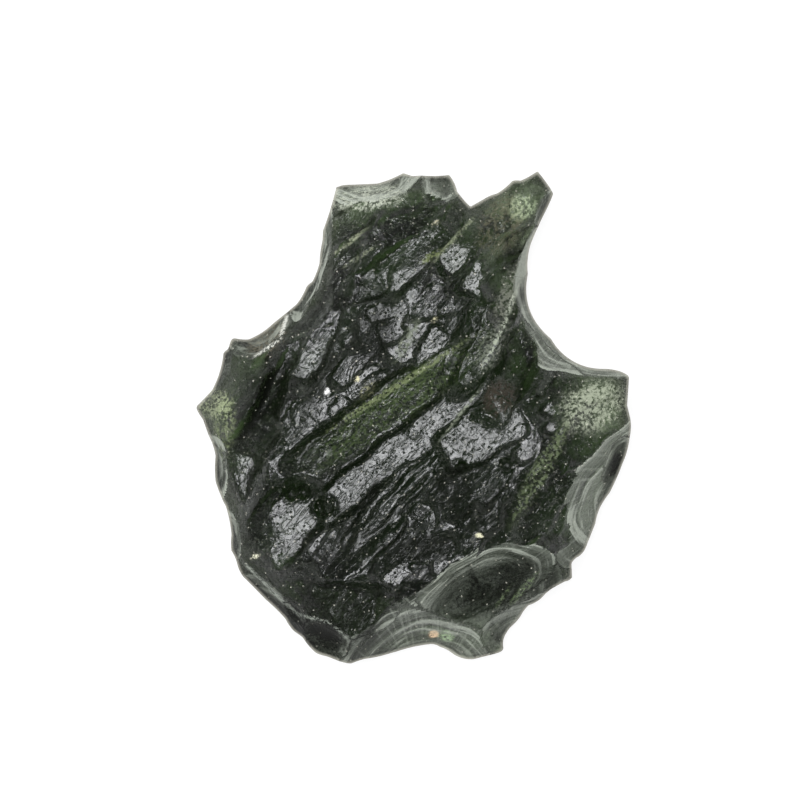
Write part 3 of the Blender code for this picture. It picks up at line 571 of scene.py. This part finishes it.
class Wire:
    # a socket in a material: maths on it adds Math nodes
    def __init__(self, tree, socket=None):
        self.tree = tree
        self.socket = socket

    def node(self, kind, settings=None, values=None, out=0):
        # any node: its settings first, then each socket gets a value or a link; gives the chosen output
        made = self.tree.nodes.new(kind)
        for name, value in (settings or {}).items():
            setattr(made, name, value)
        for name, value in (values or {}).items():
            if isinstance(value, Wire):
                self.tree.links.new(value.socket, made.inputs[name])
            else:
                made.inputs[name].default_value = value
        return Wire(self.tree, made.outputs[out] if made.outputs else None)

    def maths(self, operation, *others):
        # one Math node on this socket and the others
        return self.calculate(operation, self, *others)

    def calculate(self, operation, *terms):
        return self.node("ShaderNodeMath", {"operation": operation}, dict(enumerate(terms)))

    def __add__(self, other):
        return self.maths("ADD", other)

    def __radd__(self, other):
        return self.calculate("ADD", other, self)

    def __sub__(self, other):
        return self.maths("SUBTRACT", other)

    def __rsub__(self, other):
        return self.calculate("SUBTRACT", other, self)

    def __mul__(self, other):
        return self.maths("MULTIPLY", other)

    def __rmul__(self, other):
        return self.calculate("MULTIPLY", other, self)

    def __truediv__(self, other):
        return self.maths("DIVIDE", other)

    def __rtruediv__(self, other):
        return self.calculate("DIVIDE", other, self)

    def __pow__(self, other):
        return self.maths("POWER", other)

    def __rpow__(self, other):
        return self.calculate("POWER", other, self)

    def __neg__(self):
        return self.maths("MULTIPLY", -1.0)

    def ramp(self, start, end, low=0.0, high=1.0):
        # low before start, high after end, smooth between them
        return self.node("ShaderNodeMapRange", {"interpolation_type": "SMOOTHSTEP"},
                         {"Value": self, "From Min": start, "From Max": end, "To Min": low, "To Max": high})

    def mix(self, first, second):
        # this socket's value is the share of the second colour
        return self.node("ShaderNodeMix", {"data_type": "RGBA"}, {0: self, 6: first, 7: second}, out=2)


def newMaterial(name):
    made = bpy.data.materials.new(name)
    made.use_nodes = True
    made.node_tree.nodes.clear()
    return made, Wire(made.node_tree)


def placeInMm(wire, x, y, turn=0.0, scale=(1.0, 1.0, 1.0)):
    # object coordinates in mm, about a point, turned so that x runs along the grain, then stretched
    place = wire.node("ShaderNodeTexCoord", out="Object")
    inMm = wire.node("ShaderNodeMapping", {"vector_type": "POINT"},
                     {"Vector": place, "Scale": (1 / mm, 1 / mm, 1 / mm), "Location": (-x, -y, 0.0)})
    turned = wire.node("ShaderNodeMapping", {"vector_type": "POINT"},
                       {"Vector": inMm, "Rotation": (0.0, 0.0, -math.radians(turn))})
    return wire.node("ShaderNodeVectorMath", {"operation": "MULTIPLY"}, {0: turned, 1: scale})


def near(wire, x, y, halfLength, halfWidth, turn, soft):
    # 1 inside an oval, fading out over soft
    local = placeInMm(wire, x, y, turn, (1 / halfLength, 1 / halfWidth, 0.0))
    away = wire.node("ShaderNodeVectorMath", {"operation": "LENGTH"}, {0: local}, out="Value")
    return away.ramp(1.0 + soft, 1.0 - soft)


glass = {
    "ior": 1.49,
    # the glass swallows density * (1 - kept) of each colour per metre
    "density": 1000.0, "kept": (0.37, 0.47, 0.28),
    "tint": (0.95, 0.97, 0.92), "streakTint": (0.76, 0.90, 0.62),
    "roughness": (0.28, 0.32), "dullRoughness": 0.65, "dullSpecular": 0.1,
    # patterns: direction and stretch of what runs along the grain, then how fine each is
    "grainTurn": 47, "stretch": (0.13, 1.0, 0.6), "streaksPerMm": 0.9, "flowPerMm": 2.6, "dimplesPerMm": 1.6,
    "gritPerMm": 7.0, "pitsPerMm": 2.6, "mottlePerMm": 5.0, "grainsPerMm": 7.0, "specksPerMm": 1.4,
    # in the scars: how fast the fan lines and the rings change round the middle, and with each mm outwards
    "fan": (24.0, 0.35), "ring": (0.9, 2.5), "bands": 0.30,
    # heights of the fine relief in mm; of two, the second holds near the rim, or out in a scar
    "dimpleHeight": (0.018, 0.08), "gritHeight": 0.004, "lineHeight": 0.018, "pitHeight": 0.040,
    "ringHeight": (0.12, 0.36), "fanHeight": 0.07, "rimGritHeight": 0.006,
    # dull layers on the glass: painted shade on the thin rim, etched rim scars partly painted reflection,
    # pale crests in them partly painted highlight, painted shade in hollows, grains, painted shade, specks
    # and a painted highlight on the edge
    "rimShadeColour": (0.040, 0.050, 0.030), "rimWidth": 1.5, "rimShadeStrength": 0.75,
    "scarDark": (0.022, 0.028, 0.018), "scarPaleEtchAndReflection": (0.21, 0.235, 0.19), "scarStrength": 0.75,
    "crestEtchAndHighlightColour": (0.52, 0.56, 0.48), "crestEtchAndHighlightStrength": 0.60,
    "hollowShadeStrength": 0.45, "shadeColour": (0.004, 0.005, 0.003),
    "grainDark": (0.010, 0.013, 0.008), "grainPale": (0.30, 0.32, 0.25), "grainStrength": 0.30,
    "speckAndEdgeHighlightColour": (0.68, 0.66, 0.56), "speckAndEdgeHighlightStrength": 0.6, "speckShare": 0.075,
    # how softly the patches and the dark places end, as shares of their radius
    "patchSoft": 0.35, "shadeSoft": 0.45,
    # ripples round a point: middle, nearest, farthest, wavelength, height
    "ripples": (-2.34, 2.28, 1.0, 1.9, 0.19, 0.005),
    # bumpy mesh on the flat right of the middle: middle, half length, half width, turn, bumps per mm, height
    "mesh": (3.9, -0.9, 2.5, 1.7, 30, 2.2, 0.030),
}
# places where the etched surface scatters light, and places of painted glow and painted highlight: x, y, half
# length, half width, turn, colour, strength
glass["patches"] = [
    # frosted corner of the block, frosted patch, and a painted glow at the thin left tip
    (-2.7, 13.2, 2.1, 0.8, 8, (0.58, 0.62, 0.50), 0.55),
    (10.7, 0.75, 2.0, 1.45, 20, (0.44, 0.48, 0.36), 0.50),
    (-12.0, 0.9, 0.9, 1.3, 70, (0.38, 0.42, 0.27), 0.40),
    # long green slope and the yellow green line along its top, both a painted glow of light coming through
    # the glass
    (-1.1, 0.85, 6.2, 1.2, 35, (0.085, 0.125, 0.045), 0.30),
    (-1.1, 1.85, 5.6, 0.17, 33, (0.24, 0.28, 0.14), 0.38),
    # pale green slope on the right; yellow green left side, a painted glow of light through the thin glass
    (7.5, -3.2, 3.4, 0.55, 61, (0.24, 0.30, 0.16), 0.30),
    (-11.2, -0.4, 1.9, 0.6, 84, (0.30, 0.36, 0.19), 0.32),
    # pale disc of the horn, a painted highlight; brown foot of the horn, brown left shoulder, brown hollow
    (6.5, 12.6, 0.85, 0.7, 30, (0.50, 0.60, 0.38), 0.45),
    (5.2, 11.5, 1.9, 1.2, 60, (0.16, 0.155, 0.10), 0.35),
    (-8.8, 4.8, 1.3, 1.0, 40, (0.16, 0.14, 0.09), 0.40), (5.1, 1.2, 1.1, 1.0, 60, (0.05, 0.04, 0.03), 0.50),
    # pale streaks on the block
    (-3.8, 10.5, 1.3, 0.16, 38, (0.46, 0.50, 0.34), 0.40),
    (-3.2, 9.6, 1.1, 0.15, 32, (0.42, 0.46, 0.32), 0.36),
    (2.4, 10.6, 2.0, 0.15, 48, (0.34, 0.38, 0.24), 0.34), (1.0, 9.6, 0.7, 0.22, 30, (0.28, 0.33, 0.14), 0.36),
    # pale striped panel left of the long crest, and the crest itself in three stretches, a painted highlight
    # along the ridge
    (5.7, 7.5, 1.8, 0.65, 68, (0.25, 0.26, 0.21), 0.40), (4.8, 4.4, 1.8, 0.70, 64, (0.22, 0.24, 0.19), 0.36),
    (6.0, 7.2, 1.1, 0.13, 66, (0.46, 0.49, 0.40), 0.55), (4.9, 4.6, 1.9, 0.13, 63, (0.42, 0.46, 0.36), 0.50),
    (2.9, 0.4, 2.2, 0.12, 52, (0.36, 0.40, 0.30), 0.45),
    # grey green ridge above the pit, yellow sparkles under it
    (-0.4, 4.6, 1.4, 0.34, 61, (0.22, 0.25, 0.18), 0.42),
    (-2.7, 1.7, 0.6, 0.35, 50, (0.50, 0.50, 0.30), 0.35),
    # white crescent at the left shoulder, in two stretches: a painted highlight on the steep wall of the
    # flake scar
    (-7.72, 5.55, 0.85, 0.13, 74, (0.78, 0.79, 0.72), 0.85),
    (-8.75, 4.15, 0.95, 0.12, 34, (0.74, 0.75, 0.68), 0.75),
    # green streaks in the hollow of the crescent flake
    (6.6, -10.2, 1.3, 0.22, 48, (0.16, 0.22, 0.10), 0.40),
    (5.4, -10.6, 0.9, 0.16, 55, (0.18, 0.24, 0.12), 0.35),
    # pale crests of the lower left rim scars, partly etched and partly a painted highlight
    (-8.5, -10.2, 2.5, 0.15, -44, (0.36, 0.39, 0.34), 0.60),
    (-5.9, -11.9, 1.2, 0.14, -14, (0.34, 0.37, 0.32), 0.55),
    (-4.1, -12.9, 0.9, 0.13, -42, (0.34, 0.37, 0.32), 0.55),
    # cream flecks
    (-9.4, -8.2, 0.32, 0.13, 25, (0.78, 0.77, 0.58), 0.90),
    (-3.3, 2.3, 0.24, 0.14, 60, (0.74, 0.70, 0.46), 0.80),
    (1.2, 5.8, 0.26, 0.13, 40, (0.74, 0.70, 0.46), 0.80),
    (1.3, 11.6, 0.22, 0.14, 10, (0.78, 0.74, 0.52), 0.85),
    (3.9, -6.9, 0.25, 0.13, -10, (0.74, 0.72, 0.50), 0.75),
    (-5.1, 1.6, 0.22, 0.13, 70, (0.95, 0.95, 0.92), 0.85),
    # grains stuck at the bottom
    (1.24, -13.0, 0.30, 0.26, 0, (0.85, 0.62, 0.40), 0.90),
    (2.0, -13.1, 0.45, 0.35, 0, (0.45, 0.60, 0.36), 0.60),
]
# dark places: x, y, half length, half width, turn, strength
glass["shades"] = [
    # pit and the spot above it, gap in the bright band
    (-2.4, 5.0, 1.9, 1.2, 62, 0.75), (-4.3, 6.8, 0.6, 0.45, 40, 0.75), (-2.3, -4.2, 0.9, 0.28, 75, 0.60),
    # hollow at the lower left, hollow above the crescent flake, round one above that
    (-4.9, -11.5, 2.8, 1.5, -10, 0.85), (0.4, -7.7, 2.0, 0.75, 10, 0.75), (2.4, -4.2, 1.2, 1.5, 0, 0.60),
    # lower left rim scars, strip to leaf
    (-8.6, -10.9, 2.9, 1.1, -52, 0.70), (-5.6, -13.2, 1.8, 1.1, -20, 0.75), (-3.0, -13.4, 1.3, 0.6, 46, 0.60),
    # hollow of the crescent flake, lens in the right edge scar, lens right of the crest
    (5.0, -10.1, 3.8, 1.45, 18, 0.90), (12.0, -3.0, 1.2, 0.42, 64, 0.80), (6.3, 6.9, 1.1, 0.28, 70, 0.55),
    # left side, below the white crescent, and under the block
    (-8.2, 1.6, 2.4, 1.3, 62, 0.45), (-5.4, 2.3, 1.8, 0.6, 58, 0.50), (-3.4, 7.6, 1.8, 0.7, 15, 0.35),
    # chips along the left edge
    (-9.8, 5.0, 1.8, 1.2, 40, 0.50), (-11.7, 2.7, 1.5, 0.8, 60, 0.45), (-11.9, -3.6, 1.8, 0.6, 85, 0.35),
    (-11.0, -7.7, 1.9, 0.7, 80, 0.50), (-9.2, 1.0, 2.7, 0.40, 66, 0.70),
    # between the facets in the lower half
    (-4.0, -7.6, 2.6, 1.0, 40, 0.45), (4.6, -5.8, 1.9, 1.3, 60, 0.45), (-9.6, -6.4, 1.4, 0.6, 70, 0.40),
]


def glassMaterial():
    material, wire = newMaterial("moldavite glass")
    along = placeInMm(wire, 0.0, 0.0, glass["grainTurn"], glass["stretch"])
    plain = placeInMm(wire, 0.0, 0.0)

    def noise(place, scale, detail=2.0, roughness=0.5):
        return wire.node("ShaderNodeTexNoise", {}, {"Vector": place, "Scale": scale, "Detail": detail,
                                                    "Roughness": roughness})

    def cells(place, scale):
        return wire.node("ShaderNodeTexVoronoi", {"voronoi_dimensions": "2D"},
                         {"Vector": place, "Scale": scale})

    def mark(name, out="Fac"):
        return wire.node("ShaderNodeAttribute", {"attribute_name": name}, out=out)

    def scarPlace(perStep, perMm):
        return wire.node("ShaderNodeCombineXYZ", {}, {
            "X": mark("stepX") * perStep, "Y": mark("stepY") * perStep, "Z": mark("out") * perMm})

    # streaks of greener glass along the grain
    streaks = noise(along, glass["streaksPerMm"], 3.0).ramp(0.42, 0.66)
    colour = streaks.mix((*glass["tint"], 1.0), (*glass["streakTint"], 1.0))

    # rings and fan lines inside the scars, from the way out from the scar's middle
    inScar = mark("inScar").ramp(0.35, 0.65)
    fan, ring = scarPlace(*glass["fan"]), scarPlace(*glass["ring"])
    fanLines = noise(fan, 1.0, 2.0, 0.6)
    ringLines = noise(ring, 1.0, 2.0, 0.7)

    # fine relief: thin flow lines along the grain, dimples, grit and pits; stronger towards the rim
    flow = noise(along, glass["flowPerMm"], 2.0, 0.62) - 0.5
    lines = flow.maths("ABSOLUTE").ramp(0.0, 0.03)
    dimples = noise(plain, glass["dimplesPerMm"], 3.0, 0.6)
    grit = noise(plain, glass["gritPerMm"], 1.0)
    pits = cells(plain, glass["pitsPerMm"]).ramp(0.22, 0.04)
    onTop = dimples * mark("reach").ramp(3.5, 0.8, *glass["dimpleHeight"]) + grit * glass["gritHeight"]
    onTop = onTop + lines * dimples.ramp(0.42, 0.58, 0.1, 1.0) * glass["lineHeight"]
    onTop = onTop - pits * dimples.ramp(0.54, 0.44) * glass["pitHeight"]

    # ripples, a sine of the distance from their middle, and the mesh of bumps
    x, y, nearest, farthest, wave, height = glass["ripples"]
    flatPlace = placeInMm(wire, x, y, 0.0, (1, 1, 0))
    away = wire.node("ShaderNodeVectorMath", {"operation": "LENGTH"}, {0: flatPlace}, out="Value")
    rippled = away.ramp(nearest, nearest + 0.2) * away.ramp(farthest, farthest - 0.3)
    onTop = onTop + (away * (2.0 * math.pi / wave)).maths("SINE") * rippled * height
    x, y, halfLength, halfWidth, turn, perMm, height = glass["mesh"]
    onTop = onTop - cells(plain, perMm) * near(wire, x, y, halfLength, halfWidth, turn, 0.3) * height
    onRim = ringLines * mark("ringed").ramp(0.0, 1.0, *glass["ringHeight"]) + fanLines * glass["fanHeight"]
    onRim = onRim + grit * glass["rimGritHeight"]
    relief = onTop * (1.0 - inScar) + onRim * inScar
    bump = wire.node("ShaderNodeBump", {}, {"Strength": 1.0, "Distance": mm, "Height": relief})
    polish = dimples.ramp(0.35, 0.65, *glass["roughness"])

    # dull layers on the clear glass, each laid over the ones before
    def lay(under, layerColour, share):
        below, belowShare = under
        joint = belowShare + share * (1.0 - belowShare)
        return (share / (joint + 0.001)).mix(below, layerColour), joint

    grainy = noise(plain, glass["mottlePerMm"], 3.0, 0.7)
    etchedAndPainted = mark("etchedAndPainted", "Alpha")
    textured = (grainy - 0.5) * 2.5 + streaks * 0.2 + flow * 0.8 + etchedAndPainted * 0.4
    textured = textured.ramp(0.03, 0.45, 0.05, 1.5)
    # painted shade: a dark dull layer along the thin rim, darkening the glass there
    thin = mark("reach").ramp(glass["rimWidth"], 0.2)
    dull = (*glass["rimShadeColour"], 1.0), thin * grainy.ramp(0.30, 0.60, 0.4, 1.0) * glass["rimShadeStrength"]
    # etched rim scars in dark and pale bands; the pale grey is partly a painted reflection of the bright
    # surroundings on the steep scars
    scarred = inScar * (ringLines * 0.7 + fanLines * 0.3).ramp(0.60, 0.40, 0.5, 1.0) * glass["scarStrength"]
    bands = (noise(ring, glass["bands"], 1.0) * 0.55 + ringLines * 0.45).ramp(0.38, 0.56)
    dull = lay(dull, bands.mix((*glass["scarDark"], 1.0), (*glass["scarPaleEtchAndReflection"], 1.0)), scarred)
    # fine grains, some dark and some pale
    fine = noise(plain, glass["grainsPerMm"], 2.0, 0.6)
    grains = fine.ramp(0.50, 0.55).mix((*glass["grainDark"], 1.0), (*glass["grainPale"], 1.0))
    dull = lay(dull, grains, (fine.ramp(0.48, 0.38) + fine.ramp(0.60, 0.70)) * glass["grainStrength"])
    # painted shade: the listed dark places, and darkening in the hollows of the relief
    shade = mark("shade") + mark("hollowShade").ramp(0.05, 0.17) * glass["hollowShadeStrength"]
    shaded = (shade * grainy.ramp(0.30, 0.60, 1.1, 0.7)).maths("MINIMUM", 1.0)
    dull = lay(dull, (*glass["shadeColour"], 1.0), shaded)
    # the patches: etched frost and flecks, and painted glow and painted highlights
    dull = lay(dull, mark("etchedAndPainted", "Color"), (etchedAndPainted * textured).maths("MINIMUM", 1.0))
    # pale lines on the crests of the rings in the scars: partly etched lines, partly a painted highlight on
    # the crests
    crestsAndHighlights = inScar * (ringLines.ramp(0.50, 0.59) + fanLines.ramp(0.54, 0.64) * 0.35).maths("MINIMUM", 1.0)
    crestsAndHighlights = crestsAndHighlights * mark("ringed") * (1.0 - shade.maths("MINIMUM", 0.95)) * glass["crestEtchAndHighlightStrength"]
    dull = lay(dull, (*glass["crestEtchAndHighlightColour"], 1.0), crestsAndHighlights)
    specks = cells(plain, glass["specksPerMm"]) / grainy.ramp(0.38, 0.70, 0.2, 1.5)
    specks = specks.ramp(glass["speckShare"], glass["speckShare"] * 0.4)
    # pale specks, and a painted highlight: a pale line along the very edge of the rim
    specksAndEdgeHighlight = specks.maths("MAXIMUM", mark("reach").ramp(0.22, 0.02) * 0.8)
    dullColour, dullShare = lay(dull, (*glass["speckAndEdgeHighlightColour"], 1.0), specksAndEdgeHighlight * glass["speckAndEdgeHighlightStrength"])

    clear = wire.node("ShaderNodeBsdfPrincipled", {}, {
        "Base Color": colour, "Roughness": polish, "Transmission Weight": 1.0,
        "IOR": glass["ior"], "Normal": bump})
    matt = wire.node("ShaderNodeBsdfPrincipled", {}, {
        "Base Color": dullColour, "Roughness": glass["dullRoughness"],
        "Specular IOR Level": glass["dullSpecular"], "Normal": bump})
    surface = wire.node("ShaderNodeMixShader", {}, {0: dullShare, 1: clear, 2: matt})
    inside = wire.node("ShaderNodeVolumeAbsorption", {},
                       {"Color": (*glass["kept"], 1.0), "Density": glass["density"]})
    wire.node("ShaderNodeOutputMaterial", {}, {"Surface": surface, "Volume": inside})
    return material


stonePiece = makeStone()
stonePiece.data.materials.append(glassMaterial())
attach(stonePiece, "root")
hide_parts("moldavite")
print("stone made,", len(stonePiece.data.polygons) * 2, "triangles")


# floor and light

table = {
    "halfSize": 1.5, "squares": 8, "gap": 0.00002,    # in metres
    "colour": (0.12, 0.12, 0.12), "glowColour": (1.0, 1.0, 1.0), "glow": 0.90, "roughness": 0.6,
}
lights = {
    # sky: strength at the horizon and overhead, and the heights between which it falls, 1 being overhead
    "sky": (1.0, 1.0, 1.0), "horizon": 0.80, "middle": 0.01, "horizonTop": 0.30, "middleBottom": 0.64,
    # softbox overhead: place and size in metres, watts
    "boxPlace": (-0.06, 0.06, 0.50), "boxSize": (0.24, 0.22), "boxPower": 3.0, "boxColour": (0.97, 0.98, 1.0),
}


def makeTable():
    half = table["halfSize"]
    ends = np.linspace(-half, half, table["squares"] + 1)
    x, y = np.meshgrid(ends, ends, indexing="ij")
    points = np.column_stack([x.ravel(), y.ravel(), np.full(x.size, low.z - table["gap"])])
    index = np.arange(x.size).reshape(x.shape)
    faces = np.stack([index[:-1, :-1], index[1:, :-1], index[1:, 1:], index[:-1, 1:]], axis=-1).reshape(-1, 4)
    mesh = bpy.data.meshes.new("table")
    mesh.from_pydata(points.tolist(), [], faces.tolist())
    made = bpy.data.objects.new("table", mesh)
    bpy.context.scene.collection.objects.link(made)
    material, wire = newMaterial("pale table")
    surface = wire.node("ShaderNodeBsdfPrincipled", {}, {
        "Base Color": (*table["colour"], 1.0), "Roughness": table["roughness"],
        "Emission Color": (*table["glowColour"], 1.0), "Emission Strength": table["glow"]})
    wire.node("ShaderNodeOutputMaterial", {}, {"Surface": surface})
    made.data.materials.append(material)
    return made


def makeLights():
    # a sky that is pale near the horizon and dim above it
    world = bpy.data.worlds.new("studio")
    bpy.context.scene.world = world
    world.use_nodes = True
    world.node_tree.nodes.clear()
    wire = Wire(world.node_tree)
    direction = wire.node("ShaderNodeTexCoord", out="Generated")
    height = wire.node("ShaderNodeSeparateXYZ", {}, {"Vector": direction}, out="Z")
    strength = height.ramp(lights["horizonTop"], lights["middleBottom"], lights["horizon"], lights["middle"])
    sky = wire.node("ShaderNodeBackground", {}, {"Color": (*lights["sky"], 1.0), "Strength": strength})
    wire.node("ShaderNodeOutputWorld", {}, {"Surface": sky})
    lamp = bpy.data.lights.new("softbox", "AREA")
    lamp.shape = "RECTANGLE"
    lamp.size, lamp.size_y = lights["boxSize"]
    lamp.energy = lights["boxPower"]
    lamp.color = lights["boxColour"]
    made = bpy.data.objects.new("softbox", lamp)
    made.location = lights["boxPlace"]
    aim = -made.location
    made.rotation_euler = aim.to_track_quat("-Z", "Y").to_euler()
    bpy.context.scene.collection.objects.link(made)


makeTable()
makeLights()
print("table and lights made")


# camera, straight above, as in the photo

# middlePx is where the stone's middle is in the photo, rimHeight the height in mm at which mmPerPx holds
shot = {
    "lens": 200.0, "sensor": 36.0, "imagePx": 800, "mmPerPx": 0.06,
    "middlePx": (414.0, 418.0), "rimHeight": 4.5,
}


def makeCamera():
    # the picture's middle, in mm from the stone's middle, and the distance at which a pixel is mmPerPx
    offX = (shot["imagePx"] / 2 - shot["middlePx"][0]) * shot["mmPerPx"]
    offY = (shot["middlePx"][1] - shot["imagePx"] / 2) * shot["mmPerPx"]
    away = shot["lens"] / shot["sensor"] * shot["imagePx"] * shot["mmPerPx"]
    camera = bpy.data.cameras.new("camera")
    camera.lens = shot["lens"]
    camera.sensor_width = shot["sensor"]
    made = bpy.data.objects.new("camera", camera)
    made.location = (midX + offX * mm, midY + offY * mm, low.z + (shot["rimHeight"] + away) * mm)
    bpy.context.scene.collection.objects.link(made)
    bpy.context.scene.camera = made


makeCamera()
bpy.context.scene.view_settings.view_transform = "Standard"
print("camera set")
